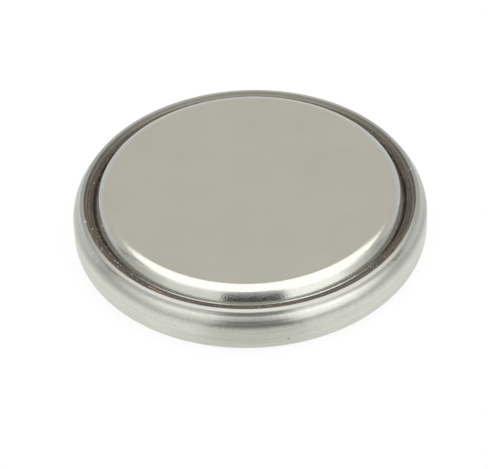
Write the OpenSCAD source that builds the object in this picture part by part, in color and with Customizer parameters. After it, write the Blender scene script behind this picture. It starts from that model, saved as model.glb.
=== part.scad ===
// Lithium coin cell, 20 mm across and 3.2 mm high, with its crimped seal and its electrodes.
// A deep-drawn can carries the positive terminal on its floor. Its rim is rolled over a plastic
// grommet, which grips the stepped rim of the cap. The cap's raised face is the negative terminal.
// Origin: centre of the can's floor, with the cap's face up. All sizes are in millimetres.

/* [Cell] */
// Diameter over the can
cell_d = 20; // [14:0.5:30]
// Height over the two terminal faces
cell_h = 3.2; // [2.6:0.1:5.4]

/* [Positive can] */
// Thickness of the can's sheet
can_sheet = 0.25; // [0.2:0.05:0.3]
// Outside radius where the floor turns up into the side
can_corner_r = 0.65; // [0.4:0.05:0.8]
// Outside radius of the rolled rim
crimp_r = 1.15; // [0.95:0.05:1.4]
// How far the rim is rolled over from upright, in degrees
crimp_turn = 65; // [55:1:78]
// How far the roll's outside would lie below the cap's face at the lip
lip_drop = 0.56; // [0.45:0.01:0.7]
// Outside radius of the roll where it tightens towards the lip
roll_top_r = 0.77; // [0.7:0.01:0.85]
// Radius of the crease that the crimping die leaves behind the lip
crease_r = 0.3; // [0.25:0.01:0.35]
// Length of the steep step between the crease and the lip's bead
crease_step = 0.11; // [0.05:0.01:0.13]
// Radius of the bead's shoulder next to the crease
bead_r = 0.11; // [0.08:0.01:0.14]
// Radius that eases the sheared outer edge of the lip
lip_ease = 0.03; // [0.01:0.01:0.04]

/* [Negative cap] */
// Thickness of the cap's sheet
cap_sheet = 0.25; // [0.2:0.05:0.3]
// From the outside of the can in to the top of the cap's side
cap_inset = 1.51; // [1.26:0.01:1.81]
// Outside radius of the shoulder next to the face
shoulder_r = 0.88; // [0.7:0.01:1.06]
// Outside radius of the shoulder next to the side
shoulder_low_r = 0.35; // [0.25:0.05:0.5]
// Tilt at which the shoulder's first radius hands over to its second, in degrees
shoulder_split = 34; // [25:1:45]
// Length of the cap's side, which bulges slightly
side_l = 0.4; // [0.3:0.01:0.44]
// Lean of the cap's side from upright at its top, in degrees
side_top_lean = 31; // [29:1:34]
// Lean of the cap's side from upright at its foot, in degrees
side_foot_lean = 27; // [24:1:28]
// Radius of the hollow where the side turns out into the flange
heel_r = 0.21; // [0.15:0.01:0.24]
// Outside radius where the flange turns down into the skirt
skirt_bend_r = 0.4; // [0.35:0.05:0.5]

/* [Sealing gasket] */
// Thickness of the gasket pinched under the can's lip
gasket_pinch = 0.2; // [0.15:0.01:0.25]
// Thickness of the gasket between the skirt and the can
gasket_wall = 0.33; // [0.25:0.01:0.4]
// Thickness of the gasket under the skirt
gasket_foot = 0.3; // [0.2:0.05:0.4]
// Thickness of the leg inside the skirt
gasket_leg_t = 0.3; // [0.2:0.05:0.35]
// Height of the leg inside the skirt
gasket_leg_h = 0.9; // [0.5:0.05:1]
// Clear crevice between the cap's side and the gasket's upper edge
gasket_crevice = 0.1; // [0.08:0.01:0.25]
// Chamfer on the gasket's upper inner edge
gasket_ease = 0.04; // [0.02:0.01:0.06]

/* [Electrodes] */
// Thickness of the lithium disc
lithium_t = 0.7; // [0.4:0.05:0.8]
// Clearance between the lithium disc and the start of the cap's shoulder
lithium_clear = 0.2; // [0.1:0.05:0.6]
// Thickness of the separator
separator_t = 0.15; // [0.1:0.01:0.2]
// Clearance between the separator and the inside of the cap
separator_clear = 0.08; // [0.05:0.01:0.2]
// How far the separator reaches past the cathode
separator_overhang = 0.2; // [0.1:0.05:0.5]
// Thickness of the ring around the cathode
ring_t = 0.15; // [0.1:0.01:0.2]
// Height of the ring around the cathode
ring_h = 1.15; // [0.6:0.05:1.2]
// Width of the ring's foot under the cathode
ring_foot_w = 0.9; // [0.5:0.1:1.5]

/* [Hidden] */
$fn = 160;
// Largest step along an arc of a section, in degrees
arc_step = 5;
// Degrees back from the lip where the roll tightens and where its crease starts
roll_tightens = 35;
roll_ends = 18;
// Degrees that the surface steepens in the crease, and that the bead's top is flatter than the lip
crease_turn = 25;
bead_flatter = 5;
cell_r = cell_d / 2;

// Points are [radius, height] in the half section. An angle is taken from level, so that 0
// points outwards and 90 points up.
function toward(angle) = [cos(angle), sin(angle)];

// Points along an arc, with its first point left out where the last curve already ends there
function arc(centre, radius, from, to, first = 0) =
    let (steps = ceil(abs(to - from) / arc_step))
    [for (i = [first:steps]) centre + radius * toward(from + (to - from) * i / steps)];

function reversed(points) = [for (i = [len(points) - 1:-1:0]) points[i]];

// Floor corner of the can
corner_c = [cell_r - can_corner_r, can_corner_r];

// Rolled rim: the arc's centre, the direction square to its lip, and the lip's inner corner
lip_dir = toward(crimp_turn);
crimp_c = [cell_r - crimp_r, cell_h - lip_drop - crimp_r * lip_dir.y];
lip_corner = crimp_c + (crimp_r - can_sheet) * lip_dir;
lip_face_dir = toward(crimp_turn + 90);

// Outside of the rim near the lip: the tighter roll, the crease, the bead and its eased edge
tighten_dir = toward(crimp_turn - roll_tightens);
roll_end_dir = toward(crimp_turn - roll_ends);
steep_turn = crimp_turn - roll_ends - crease_turn;
bead_top_turn = crimp_turn + bead_flatter;
bead_top_dir = toward(bead_top_turn);
roll_top_c = crimp_c + (crimp_r - roll_top_r) * tighten_dir;
crease_c = roll_top_c + (roll_top_r + crease_r) * roll_end_dir;
crease_top = crease_c - crease_r * toward(steep_turn) + crease_step * toward(steep_turn + 90);
bead_c = crease_top - bead_r * toward(steep_turn);
bead_rise = (bead_c - lip_corner) * bead_top_dir + bead_r;
ease_set_back = lip_ease * (1 - lip_face_dir * bead_top_dir);
lip_ease_c = lip_corner - lip_ease * lip_face_dir
    + (bead_rise - ease_set_back) / (lip_dir * bead_top_dir) * lip_dir;

// Shoulder: two arcs tangent to each other, from the flat face down to the bulging side
split_dir = toward(90 - shoulder_split);
side_top_dir = toward(side_top_lean);
side_dir = toward(side_foot_lean);
low_span = shoulder_low_r * (side_top_dir.x - split_dir.x);
face_r = cell_r - cap_inset - low_span - shoulder_r * split_dir.x;
shoulder_c = [face_r, cell_h - shoulder_r];
shoulder_low_c = shoulder_c + (shoulder_r - shoulder_low_r) * split_dir;
side_bulge_r = side_l / (side_top_lean - side_foot_lean) * 180 / PI;
side_c = shoulder_low_c + (shoulder_low_r - side_bulge_r) * side_top_dir;
side_end = side_c + side_bulge_r * side_dir;

// Flange: parallel to the can's lip, one pinched gasket below it. The side runs down until the
// hollow at its heel is tangent to the flange.
side_down = toward(side_foot_lean - 90);
flange_pt = lip_corner - gasket_pinch * lip_dir;
heel_drop = (side_end + heel_r * side_dir - flange_pt) * lip_dir - heel_r;
side_foot = side_end + heel_drop / sin(crimp_turn - side_foot_lean) * side_down;
heel_c = side_foot + heel_r * side_dir;

// Skirt: its bend is tangent to the flange and to the upright skirt
skirt_r = cell_r - can_sheet - gasket_wall;
skirt_in_r = skirt_r - cap_sheet;
skirt_foot_z = can_sheet + gasket_foot;
bend_c_r = skirt_r - skirt_bend_r;
bend_drop = skirt_bend_r + (bend_c_r - flange_pt.x) * lip_dir.x;
bend_c = [bend_c_r, flange_pt.y - bend_drop / lip_dir.y];

// Gasket: its upper edge stands off the cap's side, and its leg stands inside the skirt
gasket_lip_r = side_foot.x + gasket_crevice;
crest_z = crimp_c.y + crimp_r - can_sheet;
leg_in_r = skirt_in_r - gasket_leg_t;
leg_top_z = can_sheet + gasket_leg_h;

// Electrode stack, from the cap's inside down to the can's floor
lithium_top_z = cell_h - cap_sheet;
separator_top_z = lithium_top_z - lithium_t;
pellet_top_z = separator_top_z - separator_t;
lithium_r = face_r - lithium_clear;
separator_r = side_foot.x - cap_sheet * side_dir.x - separator_clear;
pellet_r = separator_r - separator_overhang;
ring_r = pellet_r + ring_t;
ring_bore_r = pellet_r - ring_foot_w;

// The can's outer skin, from the floor's centre to the eased edge of the lip
function can_outside() = concat(
    [[0, 0]],
    arc(corner_c, can_corner_r, -90, 0),
    arc(crimp_c, crimp_r, 0, crimp_turn - roll_tightens),
    arc(roll_top_c, roll_top_r, crimp_turn - roll_tightens, crimp_turn - roll_ends, 1),
    arc(crease_c, crease_r, 180 + crimp_turn - roll_ends, 180 + steep_turn, 1),
    arc(bead_c, bead_r, steep_turn, bead_top_turn),
    arc(lip_ease_c, lip_ease, bead_top_turn, crimp_turn + 90)
);

// The can's inner skin, from the floor's centre to the inner corner of the lip
function can_inside() = concat(
    [[0, can_sheet]],
    arc(corner_c, can_corner_r - can_sheet, -90, 0),
    arc(crimp_c, crimp_r - can_sheet, 0, crimp_turn)
);

// The cap's surface at a depth below its outer skin, from the face's centre to the skirt's foot
function cap_skin(depth) = concat(
    [[0, cell_h - depth]],
    arc(shoulder_c, shoulder_r - depth, 90, 90 - shoulder_split),
    arc(shoulder_low_c, shoulder_low_r - depth, 90 - shoulder_split, side_top_lean, 1),
    arc(side_c, side_bulge_r - depth, side_top_lean, side_foot_lean, 1),
    arc(heel_c, heel_r + depth, 180 + side_foot_lean, 180 + crimp_turn),
    arc(bend_c, skirt_bend_r - depth, crimp_turn, 0),
    [[skirt_r - depth, skirt_foot_z]]
);

// A level disc or ring between two radii and two heights, as half section
module band(inner_r, outer_r, bottom_z, top_z) {
    translate([inner_r, bottom_z])
    square([outer_r - inner_r, top_z - bottom_z]);
}

// The room inside the can, with the rolled rim's arc carried on past the lip
module can_room() {
    polygon(concat(
        can_inside(),
        arc(crimp_c, crimp_r - can_sheet, crimp_turn, 90, 1),
        [[0, crest_z]]
    ));
}

// Everything under the cap's outer skin
module cap_envelope() {
    polygon(concat(cap_skin(0), [[0, skirt_foot_z]]));
}

module positive_can() {
    color([0.73, 0.74, 0.70])
    rotate_extrude()
    polygon(concat(can_outside(), reversed(can_inside())));
}

module negative_cap() {
    color([0.70, 0.69, 0.64])
    rotate_extrude()
    polygon(concat(cap_skin(0), reversed(cap_skin(cap_sheet))));
}

// Grommet that fills the room between the can and the cap, with a leg inside the cap's skirt
module sealing_gasket() {
    color([0.42, 0.38, 0.33])
    rotate_extrude() {
        difference() {
            intersection() {
                can_room();
                union() {
                    band(gasket_lip_r, cell_r, leg_top_z, cell_h);
                    band(leg_in_r, cell_r, 0, leg_top_z);
                }
            }
            cap_envelope();
            translate([gasket_lip_r, crest_z])
            rotate(45)
            square(gasket_ease * sqrt(2), center = true);
        }
        band(leg_in_r, skirt_in_r, can_sheet, leg_top_z);
    }
}

module lithium_disc() {
    color([0.80, 0.81, 0.83])
    translate([0, 0, separator_top_z])
    cylinder(h = lithium_t, r = lithium_r);
}

module separator() {
    color([0.94, 0.94, 0.90])
    translate([0, 0, pellet_top_z])
    cylinder(h = separator_t, r = separator_r);
}

// Pressed tablet, rebated around its lower edge for the ring's foot
module cathode_pellet() {
    color([0.16, 0.16, 0.17])
    rotate_extrude() {
        band(0, ring_bore_r, can_sheet, pellet_top_z);
        band(0, pellet_r, can_sheet + ring_t, pellet_top_z);
    }
}

// L-section ring that stiffens the tablet and carries its current to the can's floor
module cathode_ring() {
    color([0.62, 0.63, 0.62])
    rotate_extrude() {
        band(ring_bore_r, ring_r, can_sheet, can_sheet + ring_t);
        band(pellet_r, ring_r, can_sheet, can_sheet + ring_h);
    }
}

positive_can();
negative_cap();
sealing_gasket();
lithium_disc();
separator();
cathode_pellet();
cathode_ring();
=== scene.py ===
import math

import bmesh
import bpy
from mathutils import Euler, Matrix, Vector


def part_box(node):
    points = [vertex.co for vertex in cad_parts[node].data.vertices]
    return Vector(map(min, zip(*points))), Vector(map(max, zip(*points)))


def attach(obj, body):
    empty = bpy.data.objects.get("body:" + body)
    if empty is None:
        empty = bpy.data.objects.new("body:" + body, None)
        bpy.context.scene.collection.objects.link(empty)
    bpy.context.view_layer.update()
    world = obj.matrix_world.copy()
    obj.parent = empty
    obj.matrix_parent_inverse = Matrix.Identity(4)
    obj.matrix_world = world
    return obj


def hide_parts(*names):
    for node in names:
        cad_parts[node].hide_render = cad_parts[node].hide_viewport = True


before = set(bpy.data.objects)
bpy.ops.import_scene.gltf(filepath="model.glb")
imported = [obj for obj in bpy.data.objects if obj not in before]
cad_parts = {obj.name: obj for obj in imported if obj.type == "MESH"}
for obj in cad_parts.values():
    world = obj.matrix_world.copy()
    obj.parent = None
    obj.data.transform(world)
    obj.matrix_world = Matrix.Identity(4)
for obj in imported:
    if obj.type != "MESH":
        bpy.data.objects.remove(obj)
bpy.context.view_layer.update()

scene = bpy.context.scene
scene.view_settings.view_transform = "Standard"
mm = 0.001

# camera: a low three-quarter view of the cap
cameraView = {
    "elevation": 41.62,       # degrees above the table
    "roll": -2.052,           # degrees, the cell leans up to the right
    "distance": 142.857 * mm,
    "lens": 184.833,
    "sensor": 36,
    "shiftX": -0.01385,
    "shiftY": -0.00887,
}


def makeCamera(view):
    rise = math.radians(view["elevation"])
    back = Vector((0, -math.cos(rise), math.sin(rise)))
    data = bpy.data.cameras.new("productCamera")
    data.lens = view["lens"]
    data.sensor_width = view["sensor"]
    data.shift_x = view["shiftX"]
    data.shift_y = view["shiftY"]
    data.clip_start = 0.01
    data.clip_end = 10
    camera = bpy.data.objects.new("productCamera", data)
    scene.collection.objects.link(camera)
    camera.location = back * view["distance"]
    facing = Euler((math.pi / 2 - rise, 0, 0)).to_matrix()
    lean = Matrix.Rotation(math.radians(view["roll"]), 3, "Z")
    camera.rotation_euler = (facing @ lean).to_euler()
    scene.camera = camera


makeCamera(cameraView)
print("camera: placed")


# a section is drawn point by point in the XZ plane and then turned round the cell's axis
turning = {
    "stepsRound": 384,
    "weld": 0.0005 * mm,
    "smoothUnder": 40,          # degrees between faces
    "flatMargin": 0.1 * mm,     # a narrow ring at the edge of a flat face, which keeps its shading flat
}


def startSection(name, r, z):
    # a plane drawn together to one point, the first of the section
    bpy.ops.object.select_all(action="DESELECT")
    bpy.ops.mesh.primitive_plane_add(size=mm, location=(r, 0, z))
    bpy.ops.object.transform_apply(location=True, rotation=True, scale=True)
    piece = bpy.context.active_object
    piece.name = name
    piece.data.name = name
    bpy.ops.object.mode_set(mode="EDIT")
    bpy.ops.mesh.select_all(action="SELECT")
    bpy.ops.mesh.merge(type="CENTER")
    return piece


def penPoint(piece):
    drawn = bmesh.from_edit_mesh(piece.data)
    return next(v.co.copy() for v in drawn.verts if v.select)


def lineTo(piece, r, z, parts=1):
    step = (Vector((r, 0, z)) - penPoint(piece)) / parts
    for part in range(parts):
        bpy.ops.mesh.extrude_region_move(TRANSFORM_OT_translate={"value": step})


def arcAbout(centre, turn, degreesPerStep=3):
    # turn is in degrees, counter-clockwise where +X points right and +Z up
    steps = max(1, math.ceil(abs(turn) / degreesPerStep))
    axis = (0, 1, 0) if turn > 0 else (0, -1, 0)
    bpy.ops.mesh.spin(steps=steps, angle=math.radians(abs(turn)), center=(centre.x, 0, centre.z),
                      axis=axis, use_auto_merge=False)


def turnRound():
    bpy.ops.mesh.select_all(action="SELECT")
    bpy.ops.mesh.spin(steps=turning["stepsRound"], angle=2 * math.pi, center=(0, 0, 0), axis=(0, 0, 1),
                      use_auto_merge=False)
    bpy.ops.mesh.select_all(action="SELECT")
    bpy.ops.mesh.remove_doubles(threshold=turning["weld"])
    bpy.ops.mesh.normals_make_consistent(inside=False)
    bpy.ops.object.mode_set(mode="OBJECT")
    bpy.ops.object.shade_smooth_by_angle(angle=math.radians(turning["smoothUnder"]))


def toward(angle):
    # 0 points outwards and 90 up
    return Vector((math.cos(math.radians(angle)), 0, math.sin(math.radians(angle))))


canLow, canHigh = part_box("positive_can")
capLow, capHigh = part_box("negative_cap")
cellRadius = canHigh.x
cellHeight = capHigh.z

# steel can: flat bottom, drawn side, rim rolled in over the gasket and creased behind its lip
canShape = {
    "sheet": 0.25 * mm,
    "bottomCorner": 0.65 * mm,
    "crimpRadius": 1.15 * mm,
    "crimpTurn": 65,            # degrees that the roll turns in from upright
    "lipDrop": 0.56 * mm,       # the roll's outside at the lip, below the cap's face
    "rollTopRadius": 0.77 * mm,
    "rollTightens": 35,         # degrees back from the lip
    "rollEnds": 18,             # degrees back from the lip, where the crease starts
    "creaseRadius": 0.3 * mm,
    "creaseTurn": 25,
    "creaseStep": 0.11 * mm,
    "beadRadius": 0.11 * mm,
    "beadFlatter": 5,
    "lipEase": 0.03 * mm,
}

canSheet = canShape["sheet"]
crimpTurn = canShape["crimpTurn"]
crimpRadius = canShape["crimpRadius"]
lipDir = toward(crimpTurn)
lipFaceDir = toward(crimpTurn + 90)
cornerCentre = Vector((cellRadius - canShape["bottomCorner"], 0, canShape["bottomCorner"]))
crimpCentre = Vector((cellRadius - crimpRadius, 0, cellHeight - canShape["lipDrop"] - crimpRadius * lipDir.z))
lipCorner = crimpCentre + (crimpRadius - canSheet) * lipDir
rollTopDir = toward(crimpTurn - canShape["rollTightens"])
rollTopCentre = crimpCentre + (crimpRadius - canShape["rollTopRadius"]) * rollTopDir
rollEndDir = toward(crimpTurn - canShape["rollEnds"])
creaseCentre = rollTopCentre + (canShape["rollTopRadius"] + canShape["creaseRadius"]) * rollEndDir
steepTurn = crimpTurn - canShape["rollEnds"] - canShape["creaseTurn"]
creaseEnd = creaseCentre - canShape["creaseRadius"] * toward(steepTurn)
creaseTop = creaseEnd + canShape["creaseStep"] * toward(steepTurn + 90)
beadCentre = creaseTop - canShape["beadRadius"] * toward(steepTurn)
beadTopTurn = crimpTurn + canShape["beadFlatter"]
beadTopDir = toward(beadTopTurn)
beadRise = (beadCentre - lipCorner).dot(beadTopDir) + canShape["beadRadius"]
easeBack = canShape["lipEase"] * (1 - lipFaceDir.dot(beadTopDir))
lipEaseCentre = (lipCorner - canShape["lipEase"] * lipFaceDir
                 + (beadRise - easeBack) / lipDir.dot(beadTopDir) * lipDir)


def makeCan(shape):
    sheet = shape["sheet"]
    can = startSection("rolledCan", 0, 0)
    lineTo(can, cornerCentre.x - turning["flatMargin"], 0)
    lineTo(can, cornerCentre.x, 0)
    arcAbout(cornerCentre, 90)
    lineTo(can, cellRadius, crimpCentre.z, parts=6)
    arcAbout(crimpCentre, crimpTurn - shape["rollTightens"])
    arcAbout(rollTopCentre, shape["rollTightens"] - shape["rollEnds"], degreesPerStep=2)
    arcAbout(creaseCentre, -shape["creaseTurn"])
    lineTo(can, creaseTop.x, creaseTop.z)
    arcAbout(beadCentre, beadTopTurn - steepTurn, degreesPerStep=4)
    beadTop = lipEaseCentre + shape["lipEase"] * beadTopDir
    lineTo(can, beadTop.x, beadTop.z, parts=2)
    arcAbout(lipEaseCentre, 90 - shape["beadFlatter"], degreesPerStep=15)
    lineTo(can, lipCorner.x, lipCorner.z, parts=3)
    arcAbout(crimpCentre, -crimpTurn, degreesPerStep=5)
    lineTo(can, cellRadius - sheet, cornerCentre.z, parts=4)
    arcAbout(cornerCentre, -90, degreesPerStep=6)
    lineTo(can, 0, sheet)
    turnRound()
    return can


# steel cap: flat face, soft shoulder, leaning side, flange and skirt inside the can
capShape = {
    "sheet": 0.25 * mm,
    "inset": 1.51 * mm,          # side of the cell to the top of the cap's side
    "shoulderRadius": 0.88 * mm,
    "shoulderLowRadius": 0.35 * mm,
    "shoulderSplit": 34,         # degrees down from the face where the two curves meet
    "sideLength": 0.4 * mm,      # along the side, which bulges slightly
    "sideTopLean": 31,
    "sideFootLean": 27,
    "heelRadius": 0.21 * mm,
    "skirtBend": 0.4 * mm,
    "gasketPinch": 0.2 * mm,
    "gasketWall": 0.33 * mm,
}

splitDir = toward(90 - capShape["shoulderSplit"])
sideTopDir = toward(capShape["sideTopLean"])
sideDir = toward(capShape["sideFootLean"])
sideDown = toward(capShape["sideFootLean"] - 90)
lowSpan = capShape["shoulderLowRadius"] * (sideTopDir.x - splitDir.x)
faceRadius = cellRadius - capShape["inset"] - lowSpan - capShape["shoulderRadius"] * splitDir.x
shoulderCentre = Vector((faceRadius, 0, cellHeight - capShape["shoulderRadius"]))
shoulderLowCentre = shoulderCentre + (capShape["shoulderRadius"] - capShape["shoulderLowRadius"]) * splitDir
sideBulge = capShape["sideLength"] / math.radians(capShape["sideTopLean"] - capShape["sideFootLean"])
sideCentre = shoulderLowCentre + (capShape["shoulderLowRadius"] - sideBulge) * sideTopDir
sideEnd = sideCentre + sideBulge * sideDir
flangePoint = lipCorner - capShape["gasketPinch"] * lipDir
heelDrop = (sideEnd + capShape["heelRadius"] * sideDir - flangePoint).dot(lipDir) - capShape["heelRadius"]
sideLength = heelDrop / math.sin(math.radians(crimpTurn - capShape["sideFootLean"]))
sideFoot = sideEnd + sideLength * sideDown
heelCentre = sideFoot + capShape["heelRadius"] * sideDir
skirtRadius = cellRadius - canSheet - capShape["gasketWall"]
bendCentreR = skirtRadius - capShape["skirtBend"]
bendDrop = capShape["skirtBend"] + (bendCentreR - flangePoint.x) * lipDir.x
bendCentre = Vector((bendCentreR, 0, flangePoint.z - bendDrop / lipDir.z))


def makeCap(shape):
    sheet = shape["sheet"]
    split = shape["shoulderSplit"]
    topLean = shape["sideTopLean"]
    footLean = shape["sideFootLean"]
    footZ = capLow.z
    cap = startSection("pressedCap", 0, cellHeight)
    lineTo(cap, faceRadius - turning["flatMargin"], cellHeight, parts=4)
    lineTo(cap, faceRadius, cellHeight)
    arcAbout(shoulderCentre, -split, degreesPerStep=2)
    arcAbout(shoulderLowCentre, -(90 - split - topLean), degreesPerStep=2)
    arcAbout(sideCentre, -(topLean - footLean), degreesPerStep=0.5)
    lineTo(cap, sideFoot.x, sideFoot.z, parts=2)
    arcAbout(heelCentre, crimpTurn - footLean, degreesPerStep=5)
    bendStart = bendCentre + shape["skirtBend"] * lipDir
    lineTo(cap, bendStart.x, bendStart.z, parts=3)
    arcAbout(bendCentre, -crimpTurn, degreesPerStep=6)
    lineTo(cap, skirtRadius, footZ, parts=4)
    lineTo(cap, skirtRadius - sheet, footZ)
    lineTo(cap, skirtRadius - sheet, bendCentre.z, parts=4)
    arcAbout(bendCentre, crimpTurn, degreesPerStep=6)
    heelEnd = heelCentre - (shape["heelRadius"] + sheet) * lipDir
    lineTo(cap, heelEnd.x, heelEnd.z, parts=2)
    arcAbout(heelCentre, -(crimpTurn - footLean), degreesPerStep=5)
    innerEnd = sideEnd - sheet * sideDir
    lineTo(cap, innerEnd.x, innerEnd.z)
    arcAbout(sideCentre, topLean - footLean, degreesPerStep=2)
    arcAbout(shoulderLowCentre, 90 - split - topLean, degreesPerStep=6)
    arcAbout(shoulderCentre, split, degreesPerStep=6)
    lineTo(cap, 0, cellHeight - sheet)
    turnRound()
    return cap


# gasket: moulded ring pinched between the can's roll and the cap's flange
gasketShape = {
    "crevice": 0.1 * mm,        # open gap between the cap's side and the gasket
    "edgeEase": 0.04 * mm,
    "legThickness": 0.3 * mm,
    "legHeight": 0.9 * mm,
}

gasketLipRadius = sideFoot.x + gasketShape["crevice"]


def makeGasket(shape):
    innerRoll = crimpRadius - canSheet
    canWall = cellRadius - canSheet
    ease = shape["edgeEase"]
    skirtIn = skirtRadius - capShape["sheet"]
    flangeAtLip = flangePoint.z - (gasketLipRadius - flangePoint.x) * lipDir.x / lipDir.z
    topR = gasketLipRadius + ease
    topAngle = math.degrees(math.acos((max(topR, crimpCentre.x) - crimpCentre.x) / innerRoll))
    topZ = crimpCentre.z + innerRoll * math.sin(math.radians(topAngle))
    gasket = startSection("gasketRing", gasketLipRadius, flangeAtLip)
    lineTo(gasket, gasketLipRadius, topZ - ease, parts=2)
    lineTo(gasket, topR, topZ)
    arcAbout(crimpCentre, -topAngle)
    lineTo(gasket, canWall, cornerCentre.z, parts=3)
    arcAbout(cornerCentre, -90, degreesPerStep=10)
    lineTo(gasket, skirtIn - shape["legThickness"], canSheet, parts=2)
    lineTo(gasket, skirtIn - shape["legThickness"], canSheet + shape["legHeight"], parts=3)
    lineTo(gasket, skirtIn, canSheet + shape["legHeight"])
    lineTo(gasket, skirtIn, capLow.z, parts=3)
    lineTo(gasket, skirtRadius, capLow.z)
    lineTo(gasket, skirtRadius, bendCentre.z, parts=3)
    arcAbout(bendCentre, crimpTurn, degreesPerStep=6)
    lineTo(gasket, gasketLipRadius, flangeAtLip, parts=2)
    turnRound()
    return gasket


can = makeCan(canShape)
cap = makeCap(capShape)
gasket = makeGasket(gasketShape)
for piece, node, finish in ((can, "positive_can", "can_steel"), (cap, "negative_cap", "cap_steel"),
                            (gasket, "sealing_gasket", "gasket")):
    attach(piece, "root")
    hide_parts(node)
print("pieces: can, cap and gasket turned")


# node helpers
def feed(tree, socket, value):
    # a value is a number, a colour, a vector or the output that drives the socket
    if isinstance(value, bpy.types.NodeSocket):
        tree.links.new(value, socket)
    else:
        socket.default_value = value


def addNode(tree, kind, values=(), **settings):
    made = tree.nodes.new("ShaderNode" + kind)
    for name, value in settings.items():
        setattr(made, name, value)
    for socket, value in dict(values).items():
        feed(tree, made.inputs[socket], value)
    return made


def calc(tree, operation, *values):
    return addNode(tree, "Math", enumerate(values), operation=operation).outputs[0]


def vectorCalc(tree, operation, *values):
    return addNode(tree, "VectorMath", enumerate(values), operation=operation)


def ramp(tree, value, start, end, low=0, high=1):
    # eased from low to high while the value goes from start to end
    values = {"Value": value, "From Min": start, "From Max": end, "To Min": low, "To Max": high}
    return addNode(tree, "MapRange", values, interpolation_type="SMOOTHSTEP").outputs["Result"]


def blend(tree, share, first, second):
    mix = tree.nodes.new("ShaderNodeMix")
    mix.data_type = "RGBA"
    for socket, value in (("Factor_Float", share), ("A_Color", first), ("B_Color", second)):
        feed(tree, next(s for s in mix.inputs if s.identifier == socket), value)
    return next(s for s in mix.outputs if s.identifier == "Result_Color")


def startGroup(name, inputs, outputs):
    # the sockets are numbers, but for the few that hold a vector
    group = bpy.data.node_groups.new(name, "ShaderNodeTree")
    for side, sockets in (("INPUT", inputs), ("OUTPUT", outputs)):
        for socket in sockets:
            kind = "NodeSocketVector" if socket in ("Around", "Point", "Direction") else "NodeSocketFloat"
            group.interface.new_socket(socket, in_out=side, socket_type=kind)
    return group, group.nodes.new("NodeGroupInput"), group.nodes.new("NodeGroupOutput")


def useGroup(tree, group, **values):
    placed = tree.nodes.new("ShaderNodeGroup")
    placed.node_tree = group
    for name, value in values.items():
        feed(tree, placed.inputs[name], value)
    return placed


def rgb(red, green, blue):
    return (red, green, blue, 1)


# where a point lies on the cell, in millimetres
def makePlaceGroup():
    group, given, put = startGroup("placeOnCell", (), ("Radius", "Height", "Along", "Around", "Point"))
    coordinates = group.nodes.new("ShaderNodeTexCoord")
    point = vectorCalc(group, "SCALE", coordinates.outputs["Object"])
    point.inputs["Scale"].default_value = 1 / mm
    parts = addNode(group, "SeparateXYZ", {"Vector": point.outputs[0]})
    flat = addNode(group, "CombineXYZ", {"X": parts.outputs["X"], "Y": parts.outputs["Y"]}).outputs[0]
    radius = vectorCalc(group, "LENGTH", flat).outputs["Value"]
    along = calc(group, "SUBTRACT", radius, parts.outputs["Z"])
    for name, value in (("Radius", radius), ("Height", parts.outputs["Z"]), ("Along", along),
                        ("Around", vectorCalc(group, "NORMALIZE", flat).outputs[0]),
                        ("Point", point.outputs[0])):
        feed(group, put.inputs[name], value)
    return group


placeGroup = makePlaceGroup()


# marks that run round the cell, as a die or a lathe leaves them; Along grows from the face to the floor
def makeTurnedGroup():
    group, given, put = startGroup("turnedLines", ("Density", "Runs", "Seed"), ("Lines",))
    place = useGroup(group, placeGroup)
    lap = vectorCalc(group, "SCALE", place.outputs["Around"])
    feed(group, lap.inputs["Scale"], given.outputs["Runs"])
    level = calc(group, "MULTIPLY_ADD", place.outputs["Along"], given.outputs["Density"],
                 given.outputs["Seed"])
    lift = addNode(group, "CombineXYZ", {"Z": level}).outputs[0]
    where = vectorCalc(group, "ADD", lap.outputs[0], lift).outputs[0]
    noise = addNode(group, "TexNoise", {"Vector": where, "Scale": 1, "Detail": 2, "Roughness": 0.6})
    feed(group, put.inputs["Lines"], noise.outputs["Fac"])
    return group


# cloudy change over the surface
def makeMottleGroup():
    group, given, put = startGroup("softMottle", ("Size", "Seed"), ("Mottle",))
    place = useGroup(group, placeGroup)
    grown = vectorCalc(group, "SCALE", place.outputs["Point"])
    feed(group, grown.inputs["Scale"], calc(group, "DIVIDE", 1, given.outputs["Size"]))
    shift = addNode(group, "CombineXYZ", {"X": given.outputs["Seed"]}).outputs[0]
    moved = vectorCalc(group, "ADD", grown.outputs[0], shift).outputs[0]
    noise = addNode(group, "TexNoise", {"Vector": moved, "Scale": 1, "Detail": 3, "Roughness": 0.55})
    feed(group, put.inputs["Mottle"], noise.outputs["Fac"])
    return group


# small specks or pits strewn over the surface
def makeSpeckGroup():
    group, given, put = startGroup("strewnSpecks", ("Spacing", "Share", "Size"), ("Mask",))
    place = useGroup(group, placeGroup)
    grown = vectorCalc(group, "SCALE", place.outputs["Point"])
    feed(group, grown.inputs["Scale"], calc(group, "DIVIDE", 1, given.outputs["Spacing"]))
    cells = addNode(group, "TexVoronoi", {"Vector": grown.outputs[0], "Scale": 1})
    chance = addNode(group, "SeparateColor", {"Color": cells.outputs["Color"]}).outputs[0]
    chosen = calc(group, "LESS_THAN", chance, given.outputs["Share"])
    edge = calc(group, "DIVIDE", given.outputs["Size"], given.outputs["Spacing"])
    near = ramp(group, cells.outputs["Distance"], edge, calc(group, "MULTIPLY", edge, 0.5))
    feed(group, put.inputs["Mask"], calc(group, "MULTIPLY", chosen, near))
    return group


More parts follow.
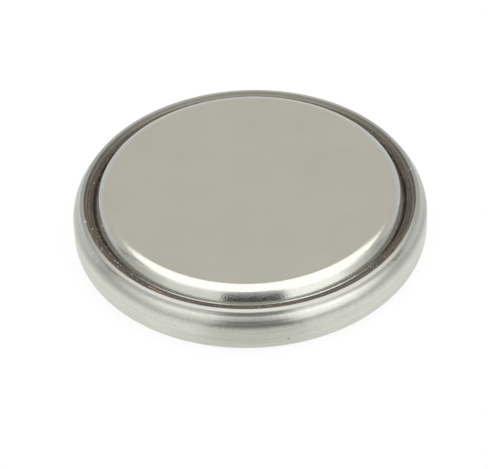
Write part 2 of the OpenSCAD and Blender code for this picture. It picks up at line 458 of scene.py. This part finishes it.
# one mark at its own place: a direction round the cell, its place along the section and its size
def makeMarkGroup():
    group, given, put = startGroup("placedMark", ("Direction", "Middle", "Length", "Width", "Ragged"),
                                   ("Mask",))
    place = useGroup(group, placeGroup)
    facing = vectorCalc(group, "DOT_PRODUCT", place.outputs["Around"], given.outputs["Direction"])
    swing = calc(group, "ARCCOSINE", calc(group, "MINIMUM", facing.outputs["Value"], 1))
    aside = calc(group, "MULTIPLY", swing, place.outputs["Radius"])
    aside = calc(group, "DIVIDE", aside, given.outputs["Length"])
    apart = calc(group, "SUBTRACT", place.outputs["Along"], given.outputs["Middle"])
    apart = calc(group, "DIVIDE", apart, given.outputs["Width"])
    distance = calc(group, "SQRT", calc(group, "ADD", calc(group, "MULTIPLY", aside, aside),
                                        calc(group, "MULTIPLY", apart, apart)))
    wave = addNode(group, "TexNoise", {"Vector": place.outputs["Point"], "Scale": 9, "Detail": 2})
    torn = calc(group, "MULTIPLY", calc(group, "SUBTRACT", wave.outputs["Fac"], 0.5), given.outputs["Ragged"])
    feed(group, put.inputs["Mask"], ramp(group, calc(group, "ADD", distance, torn), 1.1, 0.6))
    return group


turnedGroup = makeTurnedGroup()
mottleGroup = makeMottleGroup()
speckGroup = makeSpeckGroup()
markGroup = makeMarkGroup()


def lines(tree, density, runs, seed=0):
    return useGroup(tree, turnedGroup, Density=density, Runs=runs, Seed=seed).outputs["Lines"]


def mottle(tree, size, seed=0):
    return useGroup(tree, mottleGroup, Size=size, Seed=seed).outputs["Mottle"]


def specks(tree, spacing, share, size):
    return useGroup(tree, speckGroup, Spacing=spacing, Share=share, Size=size).outputs["Mask"]


def marks(tree, places, start=0):
    # a place gives the azimuth, 0 at the camera's side and 90 at +X, then how far along the section
    # it lies from the start, its half length, its half width and how ragged it is
    mask = 0
    for azimuth, along, length, width, ragged in places:
        a = math.radians(azimuth)
        placed = useGroup(tree, markGroup, Direction=(math.sin(a), -math.cos(a), 0), Middle=start + along,
                          Length=length, Width=width, Ragged=ragged)
        mask = calc(tree, "MAXIMUM", mask, placed.outputs["Mask"])
    return mask


def startMaterial(name):
    material = bpy.data.materials.new(name)
    material.use_nodes = True
    tree = material.node_tree
    return material, tree, tree.nodes["Principled BSDF"]


def addBump(tree, shader, height, depth):
    # depth is in millimetres for a height from 0 to 1
    bump = addNode(tree, "Bump", {"Strength": 1, "Distance": depth * mm, "Height": height})
    tree.links.new(bump.outputs["Normal"], shader.inputs["Normal"])


def alongOf(point):
    return (point.x - point.z) / mm


# steel can: bright drawn sheet with the die's lines round its side, and a duller sheared edge at the lip
canFinish = {
    "steel": rgb(0.66, 0.665, 0.59),
    "rolled": rgb(0.585, 0.595, 0.55),
    "streak": rgb(0.52, 0.525, 0.46),
    "pit": rgb(0.12, 0.11, 0.09),
    # tint for the darker crease and for the painted dark reflections on the roll
    "creaseAndReflectionDark": rgb(0.22, 0.21, 0.18),
    "beadShade": rgb(0.42, 0.42, 0.39),
    # duller sheared steel, darkened further as painted shade of the gap beside the gasket
    "sheared": rgb(0.34, 0.33, 0.30),
    "burr": rgb(0.50, 0.49, 0.45),
    # near-white spots on the lip: painted glints where nicks catch the light
    "glint": rgb(0.95, 0.95, 0.93),
    "clouded": 0.18,            # shares of each tint in the steel's colour
    "drawn": 0.5,
    "streaked": 0.55,
    "creaseDarkening": 0.15,
    "paintedReflectionShare": 0.6,
    "roughness": (0.22, 0.28),
    "beadRougher": 0.08,        # added to it
    "shearedRougher": 0.14,
    "lineDepth": 0.0016,        # from here on all is in mm
    "dieDepth": 0.004,
    "streakDepth": 0.003,
    "wallStarts": (0.02, 0.3),  # heights between which one finish goes over into the next
    "wallEnds": (1.75, 1.45),
    "rollStarts": (1.6, 2.1),
    "streaksStart": (1.4, 1.8),
    "wavesStart": (1.7, 2.5),
    "crimpedAbove": 2.2,
    "ringHeights": (1.06, 0.73, 1.3),
    "ringEdge": (0.06, 0.02),
    "creaseDarkEdge": (0.05, 0.01),
    "beadEdge": 0.03,
    "shearedEdge": (-0.012, -0.002),
    "burrEdge": (0.06, 0.02),
    "pits": (0.9, 0.05, 0.03),  # spacing, the share of places that hold one, and size
    "dents": ((10.5, 9.16, 0.06, 0.05, 0.3),),      # places as marks() takes them
    "paintedGlints": ((101, 6.74, 0.06, 0.05, 0.3), (-79, 6.72, 0.08, 0.05, 0.6)),
    "paintedDarkReflections": ((-54, 0.03, 0.9, 0.14, 2), (56, 0.06, 0.8, 0.17, 2.2)),     # painted dark reflections on the roll, placed along from the crease
}


def makeCanSteel(finish):
    material, tree, shader = startMaterial("drawnCanSteel")
    place = useGroup(tree, placeGroup)
    height = place.outputs["Height"]
    radius = place.outputs["Radius"]
    along = place.outputs["Along"]
    crimped = calc(tree, "GREATER_THAN", height, finish["crimpedAbove"])

    # the upright wall and the bottom corner keep the draw lines, and the roll is ironed smooth
    wall = calc(tree, "MULTIPLY", ramp(tree, height, *finish["wallEnds"]),
                ramp(tree, height, *finish["wallStarts"]))
    fineLines = lines(tree, 22, 5)
    longLines = lines(tree, 9, 1.6, seed=3)
    drawn = calc(tree, "MULTIPLY", wall, ramp(tree, longLines, 0.48, 0.62))
    for ringHeight in finish["ringHeights"]:
        aside = calc(tree, "ABSOLUTE", calc(tree, "SUBTRACT", height, ringHeight))
        broken = ramp(tree, lines(tree, 0.4, 5, seed=20 * ringHeight), 0.42, 0.56)
        ring = calc(tree, "MULTIPLY", ramp(tree, aside, *finish["ringEdge"]), broken)
        drawn = calc(tree, "MAXIMUM", drawn, ring)
    cloud = mottle(tree, 1.1)
    colour = blend(tree, ramp(tree, height, *finish["rollStarts"]), finish["steel"], finish["rolled"])
    colour = blend(tree, ramp(tree, cloud, 0.3, 0.7, 0, finish["clouded"]), colour, finish["streak"])
    colour = blend(tree, calc(tree, "MULTIPLY", drawn, finish["drawn"]), colour, finish["streak"])

    # marks that run down over the roll, and a few pits
    streaks = lines(tree, 3, 80, seed=12)
    pulled = calc(tree, "MULTIPLY", ramp(tree, streaks, 0.36, 0.62),
                  ramp(tree, height, *finish["streaksStart"]))
    colour = blend(tree, calc(tree, "MULTIPLY", pulled, finish["streaked"]), colour, finish["streak"])
    pitted = calc(tree, "MAXIMUM", specks(tree, *finish["pits"]), marks(tree, finish["dents"]))
    colour = blend(tree, pitted, colour, finish["pit"])

    # darker along the crease behind the bead, and painted dark reflections on the roll beside it
    creaseAlong = alongOf(creaseTop)
    aside = calc(tree, "ABSOLUTE", calc(tree, "SUBTRACT", along, creaseAlong))
    darkened = calc(tree, "MULTIPLY", ramp(tree, aside, *finish["creaseDarkEdge"]),
                ramp(tree, lines(tree, 3, 4, seed=9), 0.35, 0.6))
    reflectionMask = marks(tree, finish["paintedDarkReflections"], start=creaseAlong)
    darkened = calc(tree, "MAXIMUM", calc(tree, "MULTIPLY", darkened, finish["creaseDarkening"]),
                calc(tree, "MULTIPLY", reflectionMask, finish["paintedReflectionShare"]))
    colour = blend(tree, calc(tree, "MULTIPLY", darkened, crimped), colour, finish["creaseAndReflectionDark"])

    # the bead is worn dull by the crimping die
    onBead = ramp(tree, along, creaseAlong + finish["beadEdge"], creaseAlong - finish["beadEdge"])
    onBead = calc(tree, "MULTIPLY", onBead, crimped)
    colour = blend(tree, onBead, colour, finish["beadShade"])

    # sheared face of the lip, duller steel darkened further as painted shade of the gap beside the gasket,
    # with a burr on its inner edge and bright painted glints where nicks catch the light
    offset = calc(tree, "MULTIPLY_ADD", radius, lipFaceDir.x, -lipCorner.dot(lipFaceDir) / mm)
    offset = calc(tree, "MULTIPLY_ADD", height, lipFaceDir.z, offset)
    sheared = calc(tree, "MULTIPLY", ramp(tree, offset, *finish["shearedEdge"]), crimped)
    burrFrom, burrTo = finish["burrEdge"]
    inwards = ramp(tree, radius, lipCorner.x / mm + burrFrom, lipCorner.x / mm + burrTo)
    colour = blend(tree, sheared, colour, blend(tree, inwards, finish["sheared"], finish["burr"]))
    glinted = calc(tree, "MULTIPLY", marks(tree, finish["paintedGlints"]), crimped)
    colour = blend(tree, glinted, colour, finish["glint"])
    feed(tree, shader.inputs["Base Color"], colour)
    shader.inputs["Metallic"].default_value = 1

    rough = ramp(tree, fineLines, 0.3, 0.7, *finish["roughness"])
    rough = calc(tree, "MULTIPLY_ADD", onBead, finish["beadRougher"], rough)
    rough = calc(tree, "MULTIPLY_ADD", sheared, finish["shearedRougher"], rough)
    feed(tree, shader.inputs["Roughness"], rough)

    # relief: lines on the wall, small waves that the crimping die leaves on the roll, and the streaks
    waves = calc(tree, "MULTIPLY", ramp(tree, height, *finish["wavesStart"]), mottle(tree, 0.13, seed=5))
    relief = calc(tree, "MULTIPLY_ADD", waves, finish["dieDepth"] / finish["lineDepth"],
                  calc(tree, "MULTIPLY", wall, fineLines))
    relief = calc(tree, "MULTIPLY_ADD", streaks, finish["streakDepth"] / finish["lineDepth"], relief)
    addBump(tree, shader, relief, finish["lineDepth"])
    return material


# steel cap: pressed from polished sheet, its shoulder slightly pebbled and with marks running down it
capFinish = {
    "steel": rgb(0.60, 0.605, 0.56),
    "shade": rgb(0.575, 0.585, 0.535),
    "pulled": rgb(0.50, 0.505, 0.465),
    "streaked": 0.25,           # share of the pulled tint in a streak
    "flatShare": 0.1,           # how much of the shoulder's marks the flat face keeps
    "roughness": (0.12, 0.17),
    "peelSize": 0.11,           # mm, as the rest
    "peelDepth": 0.0035,
    "streakDepth": 0.0016,
    "shoulderEdge": (-0.2, 0.4),
}


def makeCapSteel(finish):
    material, tree, shader = startMaterial("pressedCapSteel")
    place = useGroup(tree, placeGroup)
    cloud = mottle(tree, 2.6, seed=2)
    colour = blend(tree, ramp(tree, cloud, 0.3, 0.7), finish["steel"], finish["shade"])
    edgeFrom, edgeTo = finish["shoulderEdge"]
    shoulder = ramp(tree, place.outputs["Radius"], faceRadius / mm + edgeFrom, faceRadius / mm + edgeTo,
                    finish["flatShare"], 1)
    streaks = lines(tree, 3, 85, seed=7)
    pulled = calc(tree, "MULTIPLY", ramp(tree, streaks, 0.36, 0.62, 0, finish["streaked"]), shoulder)
    feed(tree, shader.inputs["Base Color"], blend(tree, pulled, colour, finish["pulled"]))
    shader.inputs["Metallic"].default_value = 1
    grain = mottle(tree, 0.16, seed=8)
    feed(tree, shader.inputs["Roughness"], ramp(tree, grain, 0.3, 0.7, *finish["roughness"]))
    pressed = calc(tree, "MULTIPLY", streaks, finish["streakDepth"] / finish["peelDepth"])
    peel = mottle(tree, finish["peelSize"], seed=8)
    relief = calc(tree, "MULTIPLY", calc(tree, "ADD", peel, pressed), shoulder)
    addBump(tree, shader, relief, finish["peelDepth"])
    return material


# gasket: brown moulded plastic, scored round by the crimp, with pale dust and one patch of dried sealant
gasketFinish = {
    "brown": rgb(0.128, 0.1, 0.066),
    "dark": rgb(0.036, 0.028, 0.019),
    "worn": rgb(0.22, 0.19, 0.145),
    "score": rgb(0.025, 0.02, 0.016),
    "red": rgb(0.12, 0.08, 0.057),
    "pale": rgb(0.45, 0.41, 0.33),
    "sealant": rgb(0.30, 0.19, 0.09),
    "reddened": 0.5,            # shares of the tints
    "scored": 0.7,
    "sealed": 0.75,
    "roughness": (0.21, 0.37),
    "gloss": 0.5,
    "scoreShare": 0.19,         # of the even scores beside the uneven ones
    "scoreWaver": 12,           # radians
    "scoreSpacing": 0.085,      # from here on all is in mm
    "scoreDepth": 0.02,
    "dust": (0.15, 0.3, 0.06),  # spacing, the share of places that hold a grain, and size
    "shadeFades": (0.2, 0.12),  # out from the gasket's inner edge
    "shadeStarts": (0, 0.08),
    "wornEdge": (-0.08, -0.03),     # out from the can's lip
    "dustPatches": ((-56, 6.6, 3, 0.6, 0.5),),
    "crumbs": ((-76, 6.6, 0.07, 0.05, 0.4),),
    "sealantPatches": ((-37, 6.57, 0.34, 0.08, 1.3), (-34, 6.6, 0.3, 0.06, 1.3)),
}


def makeGasketBrown(finish):
    material, tree, shader = startMaterial("mouldedGasketBrown")
    place = useGroup(tree, placeGroup)
    radius = place.outputs["Radius"]

    # evenly spaced scores that waver round the ring
    scores = lines(tree, 10, 3.5, seed=1)
    fineScores = lines(tree, 22, 12, seed=6)
    swing = calc(tree, "MULTIPLY_ADD", place.outputs["Along"], 2 * math.pi / finish["scoreSpacing"],
                 calc(tree, "MULTIPLY", lines(tree, 3, 6, seed=2), finish["scoreWaver"]))
    scores = calc(tree, "MULTIPLY_ADD", calc(tree, "SINE", swing), finish["scoreShare"], scores)
    colour = blend(tree, ramp(tree, scores, 0.33, 0.67), finish["dark"], finish["brown"])
    reddened = ramp(tree, mottle(tree, 1.4, seed=4), 0.5, 0.65, 0, finish["reddened"])
    colour = blend(tree, reddened, colour, finish["red"])
    colour = blend(tree, ramp(tree, fineScores, 0.5, 0.38, 0, finish["scored"]), colour, finish["score"])

    # painted shade beside the cap, and rubbed pale where the lip presses
    innerEdge = gasketLipRadius / mm
    fadeFrom, fadeTo = finish["shadeFades"]
    shadeFrom, shadeTo = finish["shadeStarts"]
    paintedShade = calc(tree, "MULTIPLY", ramp(tree, radius, innerEdge + fadeFrom, innerEdge + fadeTo),
                  ramp(tree, radius, innerEdge + shadeFrom, innerEdge + shadeTo, 0.1, 0.6))
    colour = blend(tree, paintedShade, colour, finish["dark"])
    wornFrom, wornTo = finish["wornEdge"]
    lipEdge = lipCorner.x / mm
    rubbed = calc(tree, "MULTIPLY", ramp(tree, radius, lipEdge + wornFrom, lipEdge + wornTo),
                  ramp(tree, fineScores, 0.35, 0.6, 0.3, 0.9))
    colour = blend(tree, rubbed, colour, finish["worn"])

    # dust that lies on the ridges between the scores, thickest at one side, and dried sealant
    dust = calc(tree, "MULTIPLY", specks(tree, *finish["dust"]), ramp(tree, scores, 0.35, 0.5))
    patches = calc(tree, "MAXIMUM", ramp(tree, mottle(tree, 2.5, seed=11), 0.46, 0.58, 0.2, 0.6),
                   marks(tree, finish["dustPatches"]))
    colour = blend(tree, calc(tree, "MULTIPLY", dust, patches), colour, finish["pale"])
    colour = blend(tree, marks(tree, finish["crumbs"]), colour, finish["pale"])
    sealant = calc(tree, "MULTIPLY", marks(tree, finish["sealantPatches"]), finish["sealed"])
    feed(tree, shader.inputs["Base Color"], blend(tree, sealant, colour, finish["sealant"]))

    shader.inputs["Specular IOR Level"].default_value = finish["gloss"]
    feed(tree, shader.inputs["Roughness"], ramp(tree, fineScores, 0.3, 0.7, *finish["roughness"]))
    addBump(tree, shader, calc(tree, "MULTIPLY_ADD", fineScores, 0.4, scores), finish["scoreDepth"])
    return material


can.data.materials.append(makeCanSteel(canFinish))
cap.data.materials.append(makeCapSteel(capFinish))
gasket.data.materials.append(makeGasketBrown(gasketFinish))


# pieces inside the sealed cell, which stay as they are and only get a finish; their depths are in mm
lithiumFinish = {
    "fresh": rgb(0.62, 0.63, 0.65),
    "tarnished": rgb(0.30, 0.31, 0.33),
    "roughness": (0.38, 0.5),
    "rollScale": 900,           # the higher, the closer the lines that rolling leaves
    "rollDepth": 0.004,
}
feltFinish = {
    "low": rgb(0.78, 0.77, 0.72),
    "high": rgb(0.88, 0.88, 0.85),
    "roughness": (0.8, 0.95),
    "fibreSize": 0.12,
    "fibreDepth": 0.03,
}
cathodeFinish = {
    "low": rgb(0.012, 0.012, 0.013),
    "high": rgb(0.035, 0.035, 0.037),
    "roughness": (0.75, 0.45),
    "grainSize": 0.09,
    "grainDepth": 0.02,
}
ringFinish = {
    "low": rgb(0.44, 0.44, 0.43),
    "high": rgb(0.56, 0.56, 0.55),
    "roughness": (0.26, 0.36),
    "lineDepth": 0.002,
}


def makeLithium(finish):
    material, tree, shader = startMaterial("rolledLithium")
    coordinates = tree.nodes.new("ShaderNodeTexCoord")
    rolled = addNode(tree, "TexWave", {"Vector": coordinates.outputs["Object"], "Scale": finish["rollScale"],
                                       "Distortion": 3, "Detail": 2}).outputs["Fac"]
    tarnish = ramp(tree, mottle(tree, 1.8), 0.42, 0.7)
    feed(tree, shader.inputs["Base Color"], blend(tree, tarnish, finish["fresh"], finish["tarnished"]))
    shader.inputs["Metallic"].default_value = 1
    feed(tree, shader.inputs["Roughness"], ramp(tree, rolled, 0, 1, *finish["roughness"]))
    addBump(tree, shader, rolled, finish["rollDepth"])
    return material


def makeSeparatorFelt(finish):
    material, tree, shader = startMaterial("separatorFelt")
    fibres = mottle(tree, finish["fibreSize"])
    colour = blend(tree, ramp(tree, fibres, 0.3, 0.7), finish["low"], finish["high"])
    feed(tree, shader.inputs["Base Color"], colour)
    felted = mottle(tree, 0.5, seed=2)
    feed(tree, shader.inputs["Roughness"], ramp(tree, felted, 0.3, 0.7, *finish["roughness"]))
    addBump(tree, shader, fibres, finish["fibreDepth"])
    return material


def makeCathodeBlack(finish):
    material, tree, shader = startMaterial("pressedCathode")
    grains = mottle(tree, finish["grainSize"])
    colour = blend(tree, ramp(tree, grains, 0.35, 0.65), finish["low"], finish["high"])
    feed(tree, shader.inputs["Base Color"], colour)
    glints = specks(tree, 0.3, 0.3, 0.08)
    feed(tree, shader.inputs["Roughness"], ramp(tree, glints, 0, 1, *finish["roughness"]))
    addBump(tree, shader, grains, finish["grainDepth"])
    return material


def makeRingSteel(finish):
    material, tree, shader = startMaterial("turnedRingSteel")
    turned = lines(tree, 20, 3)
    feed(tree, shader.inputs["Base Color"], blend(tree, turned, finish["low"], finish["high"]))
    shader.inputs["Metallic"].default_value = 1
    feed(tree, shader.inputs["Roughness"], ramp(tree, turned, 0.3, 0.7, *finish["roughness"]))
    addBump(tree, shader, turned, finish["lineDepth"])
    return material


for node, material in (("lithium_disc", makeLithium(lithiumFinish)),
                       ("separator", makeSeparatorFelt(feltFinish)),
                       ("cathode_pellet", makeCathodeBlack(cathodeFinish)),
                       ("cathode_ring", makeRingSteel(ringFinish))):
    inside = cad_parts[node]
    inside.data.materials.clear()
    inside.data.materials.append(material)
print("finishes: steel, plastic, lithium, felt and cathode")


# studio: a closed dome of soft cards, seen by the metal and not by the camera, on a white table
def glowMaterial(name, colour):
    # the card's own strength attribute says how bright it is from place to place
    material = bpy.data.materials.new(name)
    material.use_nodes = True
    tree = material.node_tree
    tree.nodes.clear()
    strength = addNode(tree, "Attribute", attribute_name="strength")
    glow = addNode(tree, "Emission", {"Color": rgb(*colour), "Strength": strength.outputs["Fac"]})
    addNode(tree, "OutputMaterial", {"Surface": glow.outputs[0]})
    return material


def domePoint(azimuth, zenith, radius):
    # azimuth 0 is the camera's side, 90 is +X
    a = math.radians(azimuth)
    z = math.radians(zenith)
    return Vector((math.sin(z) * math.sin(a), -math.sin(z) * math.cos(a), math.cos(z))) * radius


def makeCard(name, colour, columns, rows, pointAt, strengthAt):
    # pointAt and strengthAt take a place on the card, from 0 to 1 across and down
    places = [(column / columns, row / rows) for row in range(rows + 1) for column in range(columns + 1)]
    corners = [r * (columns + 1) + c for r in range(rows) for c in range(columns)]
    faces = [(first, first + 1, first + columns + 2, first + columns + 1) for first in corners]
    mesh = bpy.data.meshes.new(name)
    mesh.from_pydata([pointAt(*place) for place in places], [], faces)
    strength = mesh.attributes.new("strength", "FLOAT", "POINT")
    strength.data.foreach_set("value", [strengthAt(*place) for place in places])
    mesh.materials.append(glowMaterial(name, colour))
    card = bpy.data.objects.new(name, mesh)
    scene.collection.objects.link(card)
    card.visible_camera = False
    return card


# the dome, in metres, and the zeniths in degrees where its cards meet
cardColumns = 24
cardRows = 12
domeRadius = 0.6
innerRadius = 0.59          # of the two cards that hang before others
overhead = 28
softboxEdge = 38.5
wallSeam = 60
gapTop = 74
gapFoot = 81
tableEdge = 90
whiteCloth = (1, 1, 0.99)
warmWall = (1, 0.965, 0.885)
coolWall = (0.96, 0.98, 1)


def domeCard(name, azimuths, zeniths, colour, strengths, fall=1, radius=domeRadius):
    # a card bent to a part of the dome; one strength for all of it, or four for its corners: at the
    # first and the last azimuth above, then the same below, where a fall under 1 drops quickly
    topFirst, topLast, lowFirst, lowLast = strengths if isinstance(strengths, tuple) else (strengths,) * 4

    def pointAt(across, down):
        return domePoint(azimuths[0] + (azimuths[1] - azimuths[0]) * across,
                         zeniths[0] + (zeniths[1] - zeniths[0]) * down, radius)

    def strengthAt(across, down):
        top = topFirst + (topLast - topFirst) * across
        return top + (lowFirst + (lowLast - lowFirst) * across - top) * down ** fall

    makeCard(name, colour, cardColumns, cardRows, pointAt, strengthAt)


# overhead softbox with its hanging edges
domeCard("softboxFront", (-180, 180), (0, overhead), whiteCloth, 1.8)
domeCard("softboxBack", (62, 300), (overhead, softboxEdge), whiteCloth, 1.8)
domeCard("softboxLeft", (-60, -140), (softboxEdge, 41), whiteCloth, 1.7, radius=innerRadius)
domeCard("softboxRight", (78, 140), (softboxEdge, 44), whiteCloth, 1.8, radius=innerRadius)
# white panels at either side, greyer towards the table and further back
domeCard("panelLeftNear", (-20, -60), (overhead, tableEdge), whiteCloth, (1.45, 1.78, 0.95, 0.92))
domeCard("panelLeftFar", (-60, -93), (softboxEdge, tableEdge), whiteCloth, (1.75, 1.35, 0.8, 0.55), fall=0.5)
domeCard("panelRightNear", (21, 62), (overhead, tableEdge), whiteCloth, (1.62, 2.25, 1.45, 1.35))
domeCard("panelRightMiddle", (62, 78), (softboxEdge, tableEdge), whiteCloth, (2.2, 2.1, 0.95, 0.72), fall=0.8)
domeCard("panelRightFar", (78, 93), (softboxEdge, tableEdge), whiteCloth, (2.1, 1.9, 0.72, 0.5), fall=0.5)
# dim corners and the wall behind
domeCard("cornerLeft", (-93, -101), (softboxEdge, tableEdge), coolWall, (0.42, 0.42, 0.4, 0.4))
domeCard("cornerRight", (93, 101), (softboxEdge, tableEdge), coolWall, (0.62, 0.62, 0.5, 0.5))
domeCard("wallBehind", (101, 259), (softboxEdge, wallSeam), warmWall, 0.74)
domeCard("wallBehindLow", (101, 259), (wallSeam, tableEdge), coolWall, (0.76, 0.76, 0.86, 0.86))
# dim wall on the camera's side, with a dark gap above the table
domeCard("cameraWallLeft", (-20, 0), (overhead, gapTop), coolWall, (0.88, 0.78, 0.56, 0.44))
domeCard("cameraWallRight", (0, 21), (overhead, gapTop), coolWall, (0.78, 1, 0.44, 0.68))
domeCard("cameraGap", (-20, 21), (gapTop, gapFoot), coolWall, 0.04)
domeCard("cameraFoot", (-20, 21), (gapFoot, tableEdge), coolWall, (0.4, 0.46, 0.34, 0.4))

# a cloth on the table, only mirrored in the steel: painted shade under the cell's edge, white by the cell but
# for a painted shadow just before it, greyer further off and dark before it
cloth = {
    "start": 9.4 * mm,              # from the cell's axis
    "far": 500 * mm,
    "height": 0.01 * mm,
    "columns": 360,
    "rows": 90,
    "middle": 0.5,                  # azimuth that it is even about, in degrees
    # painted shade under the cell's edge
    "shadeUnderCell": 0.85,              # strengths
    "nearWhite": 1.05,
    "nearSide": 0.86,
    # a painted shadow on the table just before the cell
    "shadowBeforeCell": 0.79,
    "farGrey": 0.75,
    "sideGrey": 0.68,
    "backGrey": 0.85,
    "dark": 0.2,
    "cellEdge": (0.5 * mm, 0.2 * mm),       # each change: where it is, off the cell, and how soft
    "farEdge": (4.4 * mm, 1.2 * mm),
    "darkEdge": (4.5 * mm, 1 * mm),
    "darkHalf": (19, 1),                    # the same in degrees off the middle
    "shadowBeforeHalf": (18, 3),
    "sideStarts": (72, 7),
    "backStarts": (114, 4),
    "sideAt": 88,
    "sideHalf": (18, 4),
    "rightDip": (99, 10, 2.5, -0.08),       # azimuth, half width, softness and how much is added
    "leftRise": (-108, 12, 3, 0.07),
}


def ease(value, middle, width):
    return 0.5 + 0.5 * math.tanh((value - middle) / (2 * width))


def within(value, half, width):
    # 1 while the value is under its half width, and 0 well past it
    return ease(-value, -half, width)


def makeCloth(shape):
    start = math.log(shape["start"])
    reach = math.log(shape["far"]) - start

    def pointAt(across, down):
        point = domePoint(360 * across - 180, 90, math.exp(start + reach * down))
        point.z = shape["height"]
        return point

    def strengthAt(across, down):
        azimuth = 360 * across - 180
        off = abs(azimuth - shape["middle"])
        distance = math.exp(start + reach * down) - cellRadius
        strength = shape["nearWhite"]
        strength += (shape["nearSide"] - strength) * ease(off, *shape["sideStarts"])
        strength += (shape["shadowBeforeCell"] - strength) * within(off, *shape["shadowBeforeHalf"])
        farGrey = shape["farGrey"]
        farGrey += (shape["sideGrey"] - farGrey) * within(abs(off - shape["sideAt"]), *shape["sideHalf"])
        farGrey += (shape["backGrey"] - farGrey) * ease(off, *shape["backStarts"])
        strength += (farGrey - strength) * ease(distance, *shape["farEdge"])
        dark = ease(distance, *shape["darkEdge"]) * within(off, *shape["darkHalf"])
        strength += (shape["dark"] - strength) * dark
        added = 0
        for at, half, width, share in (shape["rightDip"], shape["leftRise"]):
            added += share * within(abs(azimuth - at), half, width)
        strength *= 1 + added
        return strength + (shape["shadeUnderCell"] - strength) * within(distance, *shape["cellEdge"])

    made = makeCard("greyCloth", (1, 1, 1), shape["columns"], shape["rows"], pointAt, strengthAt)
    made.visible_diffuse = False
    made.visible_shadow = False


makeCloth(cloth)


# 1 for what the camera sees, straight, in a mirror or through glass
def seenDirectly(tree):
    path = tree.nodes.new("ShaderNodeLightPath")
    return calc(tree, "MAXIMUM", path.outputs["Is Camera Ray"],
                calc(tree, "MAXIMUM", path.outputs["Is Glossy Ray"], path.outputs["Is Transmission Ray"]))


# the world lights the cell with a plain grey, and is white where it is seen
worldGrey = 0.5


def makeWorld(grey):
    world = bpy.data.worlds.new("studioWorld")
    scene.world = world
    world.use_nodes = True
    tree = world.node_tree
    tree.nodes.clear()
    room = addNode(tree, "Background", {"Color": rgb(grey, grey, grey)})
    white = addNode(tree, "Background", {"Color": rgb(1, 1, 1)})
    shown = addNode(tree, "MixShader", {0: seenDirectly(tree), 1: room.outputs[0], 2: white.outputs[0]})
    addNode(tree, "OutputWorld", {"Surface": shown.outputs[0]})


# the table keeps a faint shadow, and lets a look from below through
table = {
    "size": 1.6,                # metres
    "drop": 0.01 * mm,          # below the cell's floor
    "white": 0.92,
    "roughness": 0.8,
    "washedOut": 0.9,           # share of plain white, so that only a faint shadow is left
}


def makeTable(shape):
    bpy.ops.object.select_all(action="DESELECT")
    bpy.ops.mesh.primitive_plane_add(size=shape["size"], location=(0, 0, -shape["drop"]))
    floor = bpy.context.active_object
    floor.name = "tableTop"
    material, tree, shader = startMaterial("tableWhite")
    shader.inputs["Base Color"].default_value = rgb(shape["white"], shape["white"], shape["white"])
    shader.inputs["Roughness"].default_value = shape["roughness"]
    glow = addNode(tree, "Emission", {"Strength": 1})
    washed = calc(tree, "MULTIPLY", seenDirectly(tree), shape["washedOut"])
    lit = addNode(tree, "MixShader", {0: washed, 1: shader.outputs[0], 2: glow.outputs[0]})
    below = tree.nodes.new("ShaderNodeNewGeometry")
    clear = addNode(tree, "BsdfTransparent")
    sided = addNode(tree, "MixShader", {0: below.outputs["Backfacing"], 1: lit.outputs[0],
                                        2: clear.outputs[0]})
    tree.links.new(sided.outputs[0], tree.nodes["Material Output"].inputs["Surface"])
    floor.data.materials.append(material)


makeWorld(worldGrey)
makeTable(table)
print("studio: table, world and dome of cards")
